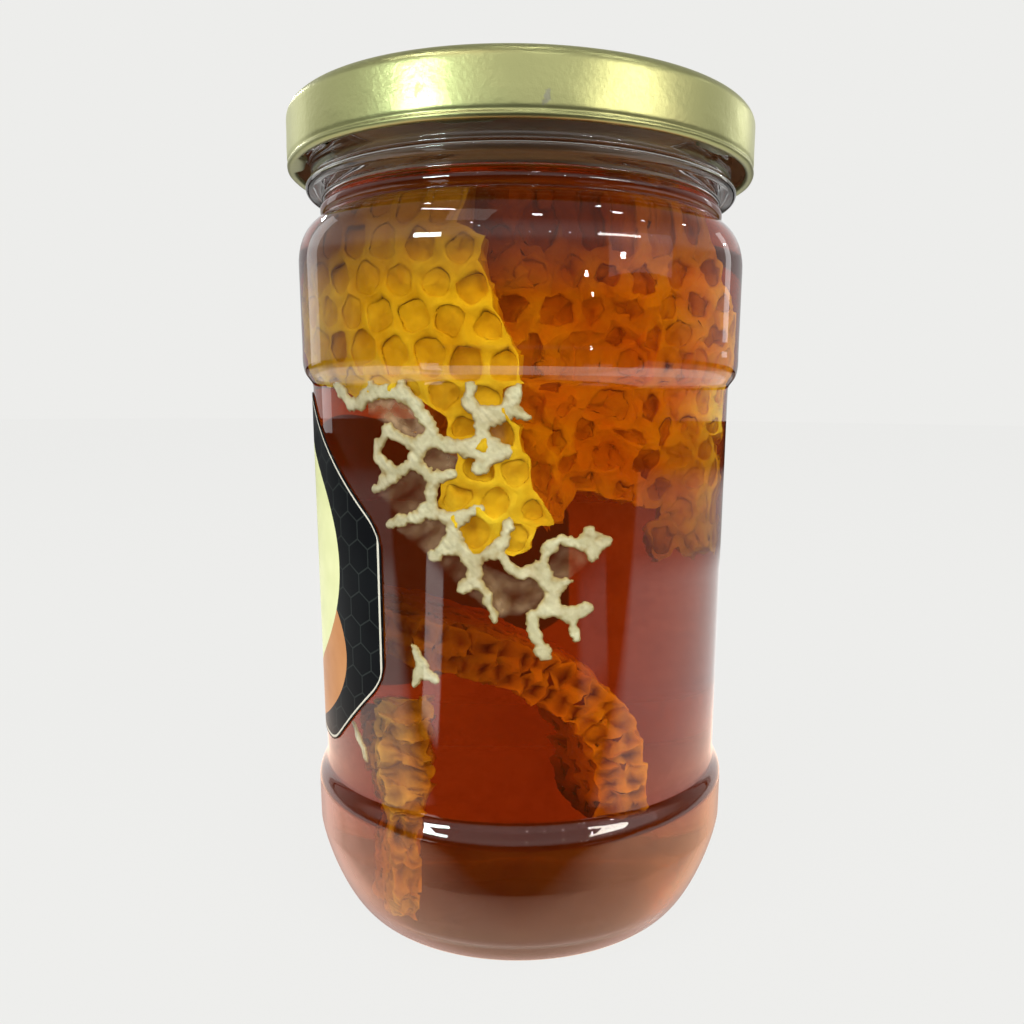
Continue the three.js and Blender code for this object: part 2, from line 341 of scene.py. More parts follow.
# the stippled underside, tinted darker as a painted shade that dims the floor's light through it, and the
# step's band, whose matt pink layer is a painted reflection
shadedFootGlass = clearMaterial("shadedFootGlass", jarSpec["ior"], (0.44, 0.33, 0.33), (1, 1, 1), roughness=0.2)
bandSheenGlass = clearMaterial("bandSheenGlass", *bareGlass, paintedVeil=lambda: jarSpec["bandReflection"])
heelGlass = clearMaterial("heelGlass", *bareGlass, blur=jarSpec["blur"], paintedVeil=heelPaintedSheen)

outside = np.vstack([
    [[0, 2.0], [20, 1.5], [30.2, 0.15], [31.5, 0]],
    arc((34.4, 16.7), (6.75, 16.7), -90, 0, 26, power=1.5)[1:],
    [[41.15, 23.4], [41.1, 25.1], [40.75, 26.1], [39.95, 27.6], [39.5, 28.7], [39.35, 30.6],
     [39.35, 99.4], [39.35, 100.3], [39.5, 101.0], [40.5, 102.3], [40.85, 103.2], [41.0, 104.2],
     [41.05, 105.2], [41.0, 106.5]],
    arc((35.65, 121.5), (5.35, 7.9), 0, 80, 16),
    [[36.3, 129.7], [36.9, 130.4], [36.9, 131.5], [36.2, 132.2], [36.2, 133.2]],
    arc((38.2, 134.6), (1.1, 1.05), -90, 90, 8),
    [[38.3, 136.2], [38.3, 144.6], [37.4, 145.6]],
])
inside = np.vstack([
    [[35.6, 145.6], [34.7, 144.8], [33.6, 134], [33.6, 129.6]],
    arc((33.2, 120), (5.15, 7.9), 78, 0, 14),
    [[38.4, 106], [37.8, 103.6], [36.95, 101.7], [36.75, 99.8], [36.75, 35.5], [37.0, 32], [37.8, 27.5],
     [38.6, 24]],
    arc((32.6, 18.5), (6.1, 14.6), 0, -90, 14, power=1.2),
    [[18, 4.4], [0, 5.2]],
])
outsideFine = refined(softened(outside, 0.45), 2.2)
insideFine = refined(softened(inside, 1.4), 2.2)


# a repeated form: the arc length from the middle of the nearest one, for a given turn and spacing
def fromNearest(angle, turn, spacing, radius):
    half = spacing / 2
    return ((np.degrees(angle) - turn - half) % spacing - half) * degree * radius


# six ribs on the finish: the radius grows by a rounded bump round a line that drops with the angle
def threads(angle, r, z):
    fromRib = fromNearest(angle, jarSpec["ribTurn"], jarSpec["ribSpacing"], jarSpec["finishRadius"])
    line = jarSpec["ribMiddle"] - fromRib * jarSpec["ribDrop"]
    bump = np.exp(-(((z - line) / jarSpec["ribWide"]) ** 2))
    bump = bump / (1 + np.exp((np.abs(fromRib) - jarSpec["ribHalf"]) / 0.5))
    return np.where((r > 38) & (z > jarSpec["finishLow"]), r + jarSpec["ribHigh"] * bump, r), z


finish = np.linspace(jarSpec["finishLow"], jarSpec["finishHigh"], jarSpec["finishRows"])
finish = np.stack([np.full(len(finish), jarSpec["finishRadius"]), finish], 1)
below = outsideFine[:np.flatnonzero(outsideFine[:, 1] > jarSpec["finishLow"] - 0.15)[0]]
above = outsideFine[outsideFine[:, 1] > jarSpec["finishHigh"] + 0.1]
jarProfile = np.vstack([below, finish, above, insideFine])
outerRows = len(below) + len(finish) + len(above)
footRows = np.flatnonzero((below[:, 0] > 35) & (below[:, 1] > 0.5))[0]


# 2 the foot's underside, 4 the heel with its painted light, 3 the band with a painted reflection, 1 the
# inner wall that honey wets, 0 the rest. 20 rows past the rim the inner wall is below the honey's level.
def jarSlot(row, r, z):
    outer = row < outerRows
    wetted = ~outer & ((z < honeyLevel - 0.3) | (row > outerRows + 20))
    bandReflection = outer & (z > jarSpec["bandReflectionSpan"][0]) & (z < jarSpec["bandReflectionSpan"][1])
    return np.select([row < footRows, outer & (z < jarSpec["heelTop"]), bandReflection, wetted], [2, 4, 3, 1], 0)


jarGlass = turned("jarGlass", jarProfile, jarSpec["around"],
                  [clearGlass, wettedGlass, shadedFootGlass, bandSheenGlass, heelGlass], jarSlot, threads)
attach(jarGlass, "root")
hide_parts("jar")
print("jar made")

# honey: it reaches a tenth of a millimetre into the wall
# the honey's emission is a painted glow, standing in for light scattered in it
honeySpec = dict(ior=1.49, absorb=(0.943, 0.838, 0.43), density=370.0, hazeGlow=(1.55, 0.50, 0.05), reach=0.1,
                 around=192, skin=(0.34, 0.12, 0.03), cloud=(0.76, 0.64, 0.56))


# painted shade: the honey is tinted browner towards its top, from 113 mm and more from 128.5 mm, and dimmer
# in red and blue above 132 mm; and cloudy all through
def honeyShadeAndCloud():
    where = objectSpot()
    z = separated(where)[2]
    shaded = mixColor(ramp(z, 0.113, 0.124), (1, 1, 1), (1.0, 0.88, 0.70))
    shaded = mixColor(ramp(z, 0.1285, 0.1300), shaded, (0.85, 0.60, 0.42))
    shaded = mixColor(ramp(z, 0.1318, 0.1322), shaded, (0.66, 1.0, 0.5))
    cloudy = mixColor(ramp(noise(where, 60.0, 8.0, 0.7), 0.40, 0.62), (1, 1, 1), honeySpec["cloud"])
    return put("VectorMath", shaded, cloudy, operation="MULTIPLY").outputs["Vector"]


honeyLiquid = clearMaterial(
    "honeyLiquid", honeySpec["ior"], honeyShadeAndCloud, (1, 1, 1), headOn=(0, 0, 0), body=honeySpec)
# an opaque brown sheet closes the top: painted shade, which keeps light from reflecting down off the
# honey's surface
honeyShadeSheet = newMaterial("honeyShadeSheet")
finishWith(put("BsdfPrincipled", Base_Color=honeySpec["skin"], Roughness=0.8))
wall = insideFine[insideFine[:, 1] < honeyLevel + 0.3][::-1]   # from the floor's middle up to the surface
tangent = np.gradient(wall, axis=0)
outwards = np.stack([tangent[:, 1], -tangent[:, 0]], 1)
outwards /= np.linalg.norm(outwards, axis=1, keepdims=True)
body = wall + outwards * honeySpec["reach"]
body[0] = [0, wall[0, 1] - honeySpec["reach"]]
body[:, 0] = np.maximum(body[:, 0], 0)
surface = np.array([[33.3, 0.25], [32.7, 0.05], [31, -0.06], [20, -0.1], [0, -0.1]]) + [0, honeyLevel]
honeyBody = turned("honeyBody", np.vstack([body, surface]), honeySpec["around"], [honeyLiquid, honeyShadeSheet],
                   lambda row, r, z: (row >= len(body) - 1).astype(int))
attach(honeyBody, "root")
print("honey made")

lidSpec = dict(
    around=224, color=(0.58, 0.585, 0.265), dark=(0.45, 0.455, 0.19), curlShade=(0.17, 0.16, 0.065),
    insideShade=((0.30, 0.15, 0.06), (0.46, 0.26, 0.12)),
    tabTurn=110, tabSpacing=60, tabRadius=41, tabHalf=4.2, tabDeep=1.5)
# a rust spot and a grey scuff: middle in metres, size, colour
lidStains = [((-0.0136, -0.0400, 0.1415), 0.0009, (0.30, 0.22, 0.10)),
             ((0.0045, -0.0420, 0.1400), 0.0009, (0.40, 0.39, 0.28))]

goldLacquer = newMaterial("goldLacquer")
where = objectSpot()
peel, cloud, dents = noise(where, 1100.0, 3.0, 0.55), noise(where, 55.0, 4.0, 0.6), noise(where, 150.0, 1.5)
# painted shade: darker below 137.3 to 138.3 mm, on the underside of the rolled edge
skin = mixColor(cloud, lidSpec["dark"], lidSpec["color"])
skin = mixColor(ramp(separated(where)[2], 0.1373, 0.1383, 0.6, 0.0), skin, lidSpec["curlShade"])
for middle, reach, stain in lidStains:
    away = put("VectorMath", where, middle, operation="DISTANCE").outputs["Value"]
    ragged = mathNode("ADD", away, product(mathNode("SUBTRACT", peel, 0.5), 0.0025))
    skin = mixColor(ramp(ragged, 0.5 * reach, reach, 0.9, 0.0), skin, stain)
relief = mathNode("MULTIPLY_ADD", dents, 1.2, peel)
relief = put("Bump", Strength=0.16, Distance=0.0003, Height=relief).outputs[0]
rubbed = ramp(cloud, 0.3, 0.7, 0.30, 0.40)
finishWith(put("BsdfPrincipled", Base_Color=skin, Metallic=1.0, Roughness=rubbed, Normal=relief))

# painted shade: the lid's inside is a dark brown, so that the space under the lid reads as shaded
lidInside = newMaterial("lidInside")
insideShade = mixColor(noise(objectSpot(), 120.0, 3.0), *lidSpec["insideShade"])
finishWith(put("BsdfPrincipled", Base_Color=insideShade, Roughness=0.55))

turn = np.linspace(140, 395, 19) * degree
curlArc = np.stack([41.5 + 0.75 * np.cos(turn), 137.85 + 0.65 * np.sin(turn)], 1)
lidChain = np.vstack([
    [[0, 145.9], [40.2, 145.9], [41.4, 144.8], [41.4, 139.2], [40.9, 138.7]],
    curlArc,
    [[42.05, 138.45], [42.2, 138.95], [42.2, 141], [42.1, 145.2]],
    arc((39.9, 145.2), (2.2, 2.2), 10, 90, 12),
    [[37.6, 147.4], [36.6, 146.8], [0, 146.8]],
])


# six tabs pressed in from the curl, and a slight waviness of the skirt
def lugs(angle, r, z):
    fromTab = fromNearest(angle, lidSpec["tabTurn"], lidSpec["tabSpacing"], lidSpec["tabRadius"])
    tab = 1 / (1 + np.exp((np.abs(fromTab) - lidSpec["tabHalf"]) / 0.25))
    inner = np.clip((41.6 - r) / 0.6, 0, 1) * (z < 139.0)
    wavy = 0.05 * np.sin(7 * angle + 1) + 0.04 * np.sin(13 * angle) + 0.02 * np.sin(29 * angle + z)
    pressed = lidSpec["tabDeep"] * tab * inner * (r < 41.5)
    return r - pressed + wavy * (r > 41.6) * np.clip((146 - z) / 4, 0, 1), z


lidFine = refined(softened(lidChain, 0.35), 2.0)
insideRows = np.flatnonzero(lidFine[:, 1] < 138.35)[0]
lidMetal = turned("lidMetal", lidFine, lidSpec["around"], [goldLacquer, lidInside],
                  lambda row, r, z: (row < insideRows).astype(int), lugs)
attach(lidMetal, "root")
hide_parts("lid")
print("lid made")


# u is an arc length from the front to the right, v the height, w outwards
def roundJar(radius, turn=0):
    def place(u, v, w):
        angle = turn * degree + u / radius
        return np.stack([(radius + w) * np.sin(angle), -(radius + w) * np.cos(angle), v], -1)
    return place


# the label: lengths on the sheet in millimetres, and tones of its print
labelSpec = dict(
    turn=-110, half=52.5, low=35.3, high=99.3, sideLow=51, sideHigh=77, flatLow=35.5, flatHigh=26.5,
    radius=39.65, cornerWide=3.2, cornerHigh=3.0, blend=1.1, thick=0.25, columns=160, rows=96,
    cell=5.2, line=0.13, ground=((0.002, 0.002, 0.003), (0.006, 0.008, 0.009)), hexes=(0.045, 0.055, 0.05),
    pale=((0.62, 0.66, 0.30), (0.86, 0.88, 0.50)), warm=((0.42, 0.16, 0.05), (0.62, 0.30, 0.12)),
    silver=(0.62, 0.60, 0.50), back=(0.22, 0.08, 0.035))


# the smaller of a and b, blended where they are within a few times k
def softLeast(a, b, k):
    return -np.log(np.exp(-a / k) + np.exp(-b / k)) * k


# each column runs from the label's lower line to its upper one
def labelSheetPiece(spec):
    u = np.linspace(-spec["half"], spec["half"], spec["columns"])
    slopeHigh = (spec["high"] - spec["sideHigh"]) / (spec["half"] - spec["flatHigh"])
    slopeLow = (spec["sideLow"] - spec["low"]) / (spec["half"] - spec["flatLow"])
    high = softLeast(0 * u, -slopeHigh * (np.abs(u) - spec["flatHigh"]), spec["blend"]) + spec["high"]
    low = -softLeast(0 * u, -slopeLow * (np.abs(u) - spec["flatLow"]), spec["blend"]) + spec["low"]
    side = np.clip((spec["half"] - np.abs(u)) / spec["cornerWide"], 0, 1)
    pull = spec["cornerHigh"] * (1 - np.sqrt(1 - (1 - side) ** 2))
    high, low = high - pull, low + pull
    v = low + (high - low) * np.linspace(0, 1, spec["rows"])[:, None]
    across = np.broadcast_to(u, v.shape)
    gap = np.minimum.reduce([high - v, v - low, spec["half"] - np.abs(across)])
    front = roundJar(spec["radius"], spec["turn"])(across, v, 0).reshape(-1, 3)
    grid = gridFaces(spec["rows"], spec["columns"])
    piece = meshPiece("labelSheet", front, [grid], [labelPrint, labelBack])
    layer = piece.data.uv_layers.new(name="sheet")
    uv = np.stack([across, v], -1).reshape(-1, 2) / 100
    corner = np.empty(len(piece.data.loops), np.int32)
    piece.data.loops.foreach_get("vertex_index", corner)
    layer.data.foreach_set("uv", uv[corner].astype(np.float32).ravel())
    attribute(piece, "edge", gap.ravel())
    paper = piece.modifiers.new("paper", "SOLIDIFY")
    paper.thickness, paper.offset, paper.material_offset = spec["thick"] * mm, -1, 1
    return piece


# faint honeycomb lines: the distance to the nearest edge of a six-sided tiling
def hexLines(u, v, size, width):
    lines, rise = [], math.sqrt(3) / 2
    for du, dv in ((0, 0), (0.5, rise)):
        a = mathNode("PINGPONG", mathNode("ADD", u, du * size + 50 * size), size / 2)
        b = mathNode("PINGPONG", mathNode("ADD", v, dv * size + 100 * size * rise), size * rise)
        lines.append(mathNode("MAXIMUM", a, mathNode("ADD", product(a, 0.5), product(b, rise))))
    return mathNode("GREATER_THAN", mathNode("MINIMUM", *lines), size / 2 - width)


# 1 inside an ellipse of the sheet, with its middle at height v0
def inEllipse(v0, reachU, reachV):
    across = mathNode("DIVIDE", u, reachU)
    up = mathNode("DIVIDE", mathNode("SUBTRACT", v, v0), reachV)
    return mathNode("LESS_THAN", mathNode("ADD", product(across, across), product(up, up)), 1.0)


# the sheet's own coordinates, in tenths of a metre. A pale oval lies over a warm band.
labelPrint = newMaterial("labelPrint")
sheet = put("UVMap", uv_map="sheet").outputs[0]
u, v, _ = separated(sheet)
shine = noise(sheet, 14.0, 2.0)
hexes = hexLines(u, v, labelSpec["cell"] / 100, labelSpec["line"] / 100)
printed = mixColor(product(hexes, 0.4), mixColor(shine, *labelSpec["ground"]), labelSpec["hexes"])
printed = mixColor(inEllipse(0.535, 0.42, 0.20), printed, mixColor(shine, *labelSpec["warm"]))
printed = mixColor(inEllipse(0.695, 0.405, 0.265), printed, mixColor(shine, *labelSpec["pale"]))
edge = attributeNode("edge")
border = product(mathNode("GREATER_THAN", edge, 0.35), mathNode("LESS_THAN", edge, 0.8))
printed = mixColor(border, printed, labelSpec["silver"])
finishWith(put("BsdfPrincipled", Base_Color=printed, Roughness=0.3, Specular_IOR_Level=0.03))
labelBack = newMaterial("labelBack")
finishWith(put("BsdfPrincipled", Base_Color=labelSpec["back"], Roughness=0.9, Specular_IOR_Level=0.0))
labelSheet = labelSheetPiece(labelSpec)
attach(labelSheet, "root")
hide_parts("label")
print("label made")

yellowWax = waxMaterial(
    "yellowWax", light=(1.0, 0.76, 0.04), dark=(0.78, 0.46, 0.012), deep=(0.58, 0.28, 0.02),
    deepLight=(1.0, 0.70, 0.03), shadeMark=(0.18, 0.07, 0.012), through=0.45, glow=0.02, coarse=110)
amberWax = waxMaterial(
    "amberWax", light=(1.0, 0.70, 0.05), dark=(0.92, 0.42, 0.03), deep=(0.34, 0.10, 0.02),
    deepLight=(0.76, 0.30, 0.04), shadeMark=(0.25, 0.06, 0.015), through=0.5, glow=0.10, coarse=110, bump=0.6)
archWax = waxMaterial(
    "archWax", light=(1.0, 0.62, 0.10), dark=(0.88, 0.42, 0.05), deep=(0.30, 0.07, 0.015),
    deepLight=(0.60, 0.20, 0.025), shadeMark=(0.16, 0.025, 0.004), through=0.5, glow=0.07, coarse=130, bump=0.6)
tanWax = waxMaterial(
    "tanWax", light=(0.86, 0.60, 0.18), dark=(0.60, 0.36, 0.09), deep=(0.40, 0.20, 0.05),
    deepLight=(0.6, 0.38, 0.12), shadeMark=(0.2, 0.08, 0.02), through=0.4, glow=0.0, coarse=220, bump=0.7)
paleWax = waxMaterial(
    "paleWax", light=(0.80, 0.79, 0.58), dark=(0.60, 0.58, 0.38), deep=(0.36, 0.25, 0.10),
    deepLight=(0.52, 0.42, 0.20), shadeMark=(0.3, 0.2, 0.1), through=0.3, glow=0.02, coarse=420, fine=2500,
    bump=0.3)

# the rings of a cell from its wall to its floor: share of the way from the wall's middle to the opening,
# narrowing, depth in millimetres and as a share of the cell's, and how far a painted crescent of shadow
# shows
cellRings = {key: np.array(row)[None, :, None] for key, row in dict(
    inwards=[0, 0.35, 0.7, 0.93, 1, 1, 1, 1, 1, 1, 1],
    narrow=[1, 1, 1, 1, 1, 1.03, 1.02, 0.99, 0.90, 0.66, 0.34],
    down=[0, -0.04, 0.08, 0.35, 0.8, 0, 0, 0, 0, 0, 0],
    share=[0, 0, 0, 0, 0.03, 0.3, 0.55, 0.78, 0.92, 1.0, 1.05],
    crescentShadow=[0, 0, 0.25, 1, 1, 1, 0.25, 0, 0, 0, 0],
).items()}
floorShare = 1.06
sideSteps, perSide = 13, 4
# how a sheet of cells is, where its own dictionary doesn't say
usualSheet = dict(
    pitch=6.3, keep=0.6, jitter=0.3, uneven=0.15, wall=1.35, round=0.85, deep=(0.85, 1.08), shallow=1,
    sink=1.0, crescentShadows=0, slope=0.25, rib=0.5, hollow=0.7, shadeSlits=0, swell=0, wobble=0.16, rough=0.05)


# a sheet of cells on a lattice. Each cell is a stack of rings of 24 points, from its six-sided outline
# through a rounded rim down to a cupped floor; w is 0 at the open face and falls inwards.
def cellSheet(name, own, place, material, seed):
    pick, spec = np.random.default_rng(seed), {**usualSheet, **own}
    pitch, tilt, slope, around = spec["pitch"], spec["tilt"] * degree, spec["slope"], 6 * perSide
    line, column = np.meshgrid(np.arange(-18, 19), np.arange(-18, 19), indexing="ij")
    step = np.stack([pitch * (column + line / 2), pitch * math.sqrt(3) / 2 * line], -1).reshape(-1, 2)
    spin = np.array([[math.cos(tilt), math.sin(tilt)], [-math.sin(tilt), math.cos(tilt)]])
    middle = step @ spin + spec["first"]
    middle = middle[toOutline(middle, spec["outline"])[0] < -spec["keep"]]
    count = len(middle)
    way = (np.arange(6) * 60 + 30) * degree
    corners = middle[:, None] + pitch / math.sqrt(3) * np.stack([np.cos(way), np.sin(way)], -1) @ spin
    # corners that neighbours share are found by rounding, moved at random and kept inside the outline
    unique, which = np.unique(np.round(corners.reshape(-1, 2) + 0.0137, 1), axis=0, return_inverse=True)
    which = which.reshape(-1, 6)
    moved = unique + pick.normal(0, spec["jitter"], unique.shape)
    gap, near = toOutline(moved, spec["outline"])
    moved = np.where(gap[:, None] > 0, near, moved)
    rimHeight = pick.normal(0, spec["uneven"], len(unique))
    nextCorner = np.roll(which, -1, 1)
    t = np.linspace(0, 1, perSide, endpoint=False)[None, None, :]
    outline = moved[which][:, :, None] * (1 - t[..., None]) + moved[nextCorner][:, :, None] * t[..., None]
    outline = outline.reshape(count, around, 2)
    rise = rimHeight[which][:, :, None] * (1 - t) + rimHeight[nextCorner][:, :, None] * t
    rise = rise.reshape(count, 1, around)
    middle = outline.mean(1)
    reach = outline - middle[:, None]
    far = np.linalg.norm(reach, axis=-1, keepdims=True)
    wallWide = spec["wall"] * pick.uniform(0.8, 1.25, (count, 1, 1))
    even = np.percentile(far, 12, axis=1)[:, None]
    opening = ((1 - spec["round"]) * far + spec["round"] * even - wallWide / 2) / far
    scale = (1 + (opening[:, None] - 1) * cellRings["inwards"][..., None]) * cellRings["narrow"][..., None]
    flat = middle[:, None, None] + reach[:, None] * scale
    depth = spec["depth"] * pick.uniform(*spec["deep"], (count, 1, 1))
    down = cellRings["down"] * spec["shallow"] + cellRings["share"] * depth
    rings = down.shape[1]
    w = rise * np.linspace(1, 0, rings)[None, :, None] - down
    # painted shade: darker with the share of a cell's depth, towards its floor
    pitShade = np.broadcast_to(np.clip(down / np.maximum(depth, 1.2) * spec["sink"], 0, 1), w.shape)
    # painted shadow: a dark crescent under the top edge of some cells, the cosine squared of the angle from
    # its middle
    heading = (np.arange(around) * 360 // around + 30 + spec["tilt"])[None, None] - 90
    heading = (heading - pick.normal(0, 22, (count, 1, 1))) * degree
    some = pick.random((count, 1, 1)) < spec["crescentShadows"]
    bold = np.where(some, pick.uniform(0.5, 1, (count, 1, 1)), 0)
    shadeMark = bold * np.clip(np.cos(heading), 0, 1) ** 2 * cellRings["crescentShadow"]
    tint = np.broadcast_to(pick.random((count, 1, 1)), shadeMark.shape)
    flat[..., 1] -= slope * np.maximum(down - 0.4, 0)
    bottom = depth[:, 0] * floorShare
    floors = np.concatenate([middle - [0, 1] * (slope * np.maximum(bottom - 0.4, 0)), -bottom], -1)
    front = np.concatenate([np.concatenate([flat, w[..., None]], -1).reshape(-1, 3), floors])
    frontPit = np.concatenate([pitShade.ravel(), np.full(count, min(spec["sink"], 1.0))])
    frontMark = np.concatenate([shadeMark.ravel(), np.zeros(count)])
    frontTint = np.concatenate([tint.ravel(), tint[:, 0, 0]])
    back = front * [1, 1, -1] + [0, 0, -spec["thick"]]
    size = len(front)
    first = np.arange(count)[:, None] * rings * around
    faces = (first[..., None] + gridFaces(rings, around, closedColumns=True)).reshape(-1, 4)
    turn, last = np.arange(around), first + (rings - 1) * around
    hub = np.broadcast_to(count * rings * around + np.arange(count)[:, None], (count, around))
    cup = np.stack([last + turn, last + (turn + 1) % around, hub], -1).reshape(-1, 3)
    quads, tris = [faces, faces[:, ::-1] + size], [cup, cup[:, ::-1] + size]
    # side walls along every edge that has a cell on one side only; they swell into a rib half way
    pair = np.sort(np.stack([which, nextCorner], -1), -1).reshape(-1, 2)
    _, inverse, times = np.unique(pair, axis=0, return_inverse=True, return_counts=True)
    cell, side = np.nonzero((times[inverse.reshape(-1)] == 1).reshape(-1, 6))
    start = first[cell] + (side[:, None] * perSide + np.arange(perSide + 1)) % around
    share = np.linspace(0, 1, sideSteps)[None, :, None, None]
    skirt = front[start][:, None] * (1 - share) + back[start][:, None] * share
    away = np.c_[front[start][..., :2].mean(1) - middle[cell], np.zeros(len(cell))]
    away /= np.maximum(np.linalg.norm(away, axis=-1, keepdims=True), 1e-6)
    along = math.pi * np.linspace(0, 1, perSide + 1)[None, None, :, None]
    swell = spec["rib"] * np.exp(-(((share - 0.5) / 0.07) ** 2))
    swell = swell - spec["hollow"] * np.sin(math.pi * share) ** 2 * np.sin(along)
    skirt = (skirt + away[:, None, None] * swell).reshape(-1, 3)
    skirtFace = gridFaces(sideSteps, perSide + 1)[:, ::-1]
    firstOfSide = np.arange(len(cell))[:, None, None] * sideSteps * (perSide + 1)
    quads.append((firstOfSide + skirtFace[None]).reshape(-1, 4) + 2 * size)
    points = np.concatenate([front, back, skirt])
    # painted shade: dark slits across the cut edge, on both sides of the midrib, where the edge's open
    # cells lie in shade
    shadeSlit = spec["shadeSlits"] * pick.random((len(cell), 1, 1, 1))
    shadeSlit = shadeSlit * np.array([0, 0.2, 1, 0.2, 0])[None, None, :, None]
    shadeSlit = (shadeSlit * np.abs(np.sin(2 * math.pi * share)) ** 1.5).ravel()
    # painted shade in the hollows of the side walls, between the cells' edges, none on the midrib
    sideShade = (0.3 + 0.7 * np.sin(along) ** 2) * np.sin(math.pi * share) ** 0.5
    sideShade = np.where(np.abs(share - 0.5) < 0.09, 0, sideShade)
    sideShade = np.broadcast_to(sideShade, (len(cell), *sideShade.shape[1:]))
    shadeMarks = np.concatenate([frontMark, frontMark, shadeSlit])
    # painted shade by place, where the sheet's own dictionary gives it
    if "paintedShade" in spec:
        shadeMarks = np.maximum(shadeMarks, spec["paintedShade"](*points.T))
    points = points + ripples(points, 13, seed + 3) * spec["swell"]
    wobble, rough = ripples(points, 3.2, seed + 1), ripples(points, 1.1, seed + 2)
    points = points + wobble * spec["wobble"] + rough * spec["rough"]
    piece = meshPiece(name, place(*points.T), quads + tris, [material])
    attribute(piece, "pitShade", np.concatenate([frontPit, frontPit, sideShade.ravel()]))
    attribute(piece, "shadeMark", shadeMarks)
    attribute(piece, "tint", np.concatenate([frontTint, frontTint, np.full(len(skirt), 0.3)]))
    print(name, "cells", count, "triangles", sum(len(f) * (f.shape[1] - 2) for f in quads + tris))
    return piece


# a face that stands upright at a distance from the axis, turned from the front to the right
def facing(distance, turn):
    side, front = math.cos(turn * degree), math.sin(turn * degree)

    def place(u, v, w):
        return np.stack([u * side + (distance + w) * front, u * front - (distance + w) * side, v], -1)
    return place


# the lower comb follows this line in x and z at its front edge; towards the back it rises and leans left
archKnots = [[-21, 57.5], [-9.8, 56.3], [-2, 54.3], [4, 51.4], [10.8, 47], [15.0, 42], [16.8, 36],
             [17.5, 30], [17.7, 19]]
archLine = refined(softened(np.array(archKnots), 5), 0.5)
archLength = np.concatenate([[0], np.cumsum(np.linalg.norm(np.diff(archLine, axis=0), axis=1))])
archWay = np.gradient(archLine, axis=0)
archWay /= np.linalg.norm(archWay, axis=1, keepdims=True)


def alongArch(u, v, w, front=-25, rise=0.22, lean=0.5):
    x, z = (np.interp(u, archLength, archLine[:, k]) for k in (0, 1))
    across, along = (np.interp(u, archLength, archWay[:, k]) for k in (0, 1))
    back = v - front
    return np.stack([x - along * w - lean * back, v, z + across * w + rise * back], -1)


# the lower left comb stands on edge, and is thinner low down
def onEdge(u, v, w, x=-18.0, face=27.6, turn=1 * degree):
    side, front = math.cos(turn), math.sin(turn)
    w = (w + 4.7) * np.interp(v, [6, 20, 29, 34], [0.5, 0.55, 0.85, 1])
    return np.stack([x - u * front + w * side, u * side - face + w * front, v], -1)


# 0 at start and 1 from end on
def fade(value, start, end):
    return np.clip((value - start) / (end - start), 0, 1)


upperLeftSpec = {
    "thick": 7.6, "depth": 0.7, "deep": (0.4, 1.6), "first": [-12, 115.5], "tilt": -6, "wall": 1.2,
    "jitter": 0.4, "keep": 1.2, "slope": 0.3, "uneven": 0.12, "crescentShadows": 0.8, "sink": 0.85, "pitch": 6.2,
    "wobble": 0.2, "round": 0.96, "shallow": 0.6,
    # painted shade: darker at the left end and near the surface
    "paintedShade": lambda u, v, w: 0.4 * fade(u, -24, -34) + 0.85 * fade(v, 115, 124),
    "outline": [
        [-48, 116], [-42, 124], [-30, 130], [-19.2, 131], [-12.7, 131], [-6, 131], [-4, 124], [-4.4, 118.5],
        [-2.8, 111], [0.6, 105.4], [1.4, 100.5], [4, 96.2], [2, 90.8], [2.4, 84.6], [5.4, 80.5], [9, 78.7],
        [9.4, 76.6], [5, 74.2], [2.8, 71], [-0.6, 71], [-6.3, 74], [-9.7, 76.7], [-13, 82.5], [-12.2, 85.4],
        [-7.3, 88.7], [-3.4, 91], [-6, 92], [-10.1, 92.2], [-12.8, 96], [-16.6, 98.6], [-26.9, 97.6],
        [-33, 99.6], [-48, 102],
    ],
}


# the sheet bends inwards below the shoulder
def bentIn(u, v, w):
    return roundJar(36.35)(u, v, w - 0.09 * np.maximum(v - 121, 0) ** 2)


combUpperLeft = cellSheet("combUpperLeft", upperLeftSpec, bentIn, yellowWax, 11)
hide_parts("comb_upper_left")


# painted shade: browner near the surface, at the lower edge and at the lower right
def upperRightShade(u, v, w):
    top = 0.55 * fade(v, 110, 118) * fade(u, 6, -4) + 0.7 * fade(v, 118, 125)
    return top + 0.4 * fade(v, 84, 76) + 0.2 * fade(v, 94, 86) * fade(u, 4, 12)


upperRightSpec = {
    "thick": 9, "depth": 0.7, "deep": (0.2, 1.8), "first": [2, 108], "tilt": 4, "wall": 1.6, "jitter": 0.5,
    "uneven": 0.2, "keep": 0.3, "rough": 0.12, "wobble": 0.3, "swell": 0.8, "slope": 0.3, "crescentShadows": 0.3,
    "sink": 0.7, "pitch": 5.8, "round": 0.96, "shallow": 0.5, "paintedShade": upperRightShade,
    "outline": [
        [-19, 117], [-18, 123], [-16, 130], [-6.2, 131], [5.8, 131], [14, 130], [21.4, 122.5], [25.5, 114],
        [27, 100], [26.5, 84], [24.6, 69.7], [20.6, 68.7], [11.1, 68.5], [9.6, 81], [1.2, 82], [-3.3, 81.6],
        [-3.9, 78.5], [-7.6, 80.3], [-12, 82], [-15, 86], [-19, 92],
    ],
}


# its left end curves away behind the yellow sheet
def behindLeft(u, v, w):
    return facing(26, 25)(u, v, w - 0.1 * np.maximum(-9.5 - u, 0) ** 2)


combUpperRight = cellSheet("combUpperRight", upperRightSpec, behindLeft, amberWax, 23)
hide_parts("comb_upper_right")


# painted shade: dark at its far end, behind its lip and at its foot
def lowerShade(u, v, w):
    return 0.4 * fade(u, 26, 14) + 0.2 * fade(w, -2, -7) * fade(v, -24.5, -21.5) + 0.8 * fade(u, 54, 60)


